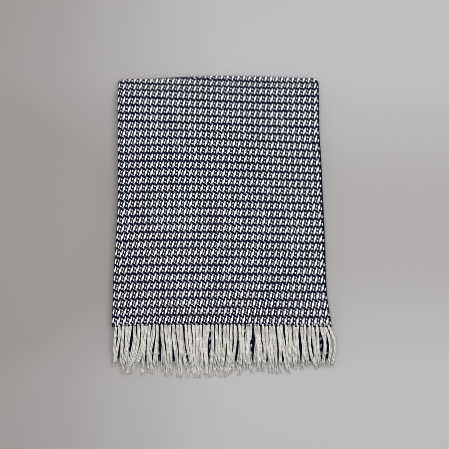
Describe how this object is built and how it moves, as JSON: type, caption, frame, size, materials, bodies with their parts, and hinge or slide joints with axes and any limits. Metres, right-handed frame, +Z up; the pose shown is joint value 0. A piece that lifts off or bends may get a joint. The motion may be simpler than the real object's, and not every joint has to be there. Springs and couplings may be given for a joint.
{
  "type": "folded fringed woven throw blanket",
  "caption": "Thick colour-and-weave throw blanket folded into a flat stack, with its yarn fringes hanging over the front fold.",
  "frame": {"origin": "a point under the middle of the stack, on the flat underside of the lowest ply", "axes": "+Z up from the surface that the throw lies on, +Y from the fringed hems at the front to the big fold at the back, +X to the right"},
  "size_m": [0.453, 0.617, 0.0246],
  "materials": {
    "woven_cloth": "navy and cream broken check weave, soft matt yarn",
    "fringe_yarn": "cream plied yarn, soft and matt"
  },
  "bodies": {
    "root": {"cloth": "woven_cloth", "fringe_upper": "fringe_yarn", "fringe_lower": "fringe_yarn"}
  },
  "joints": []
}
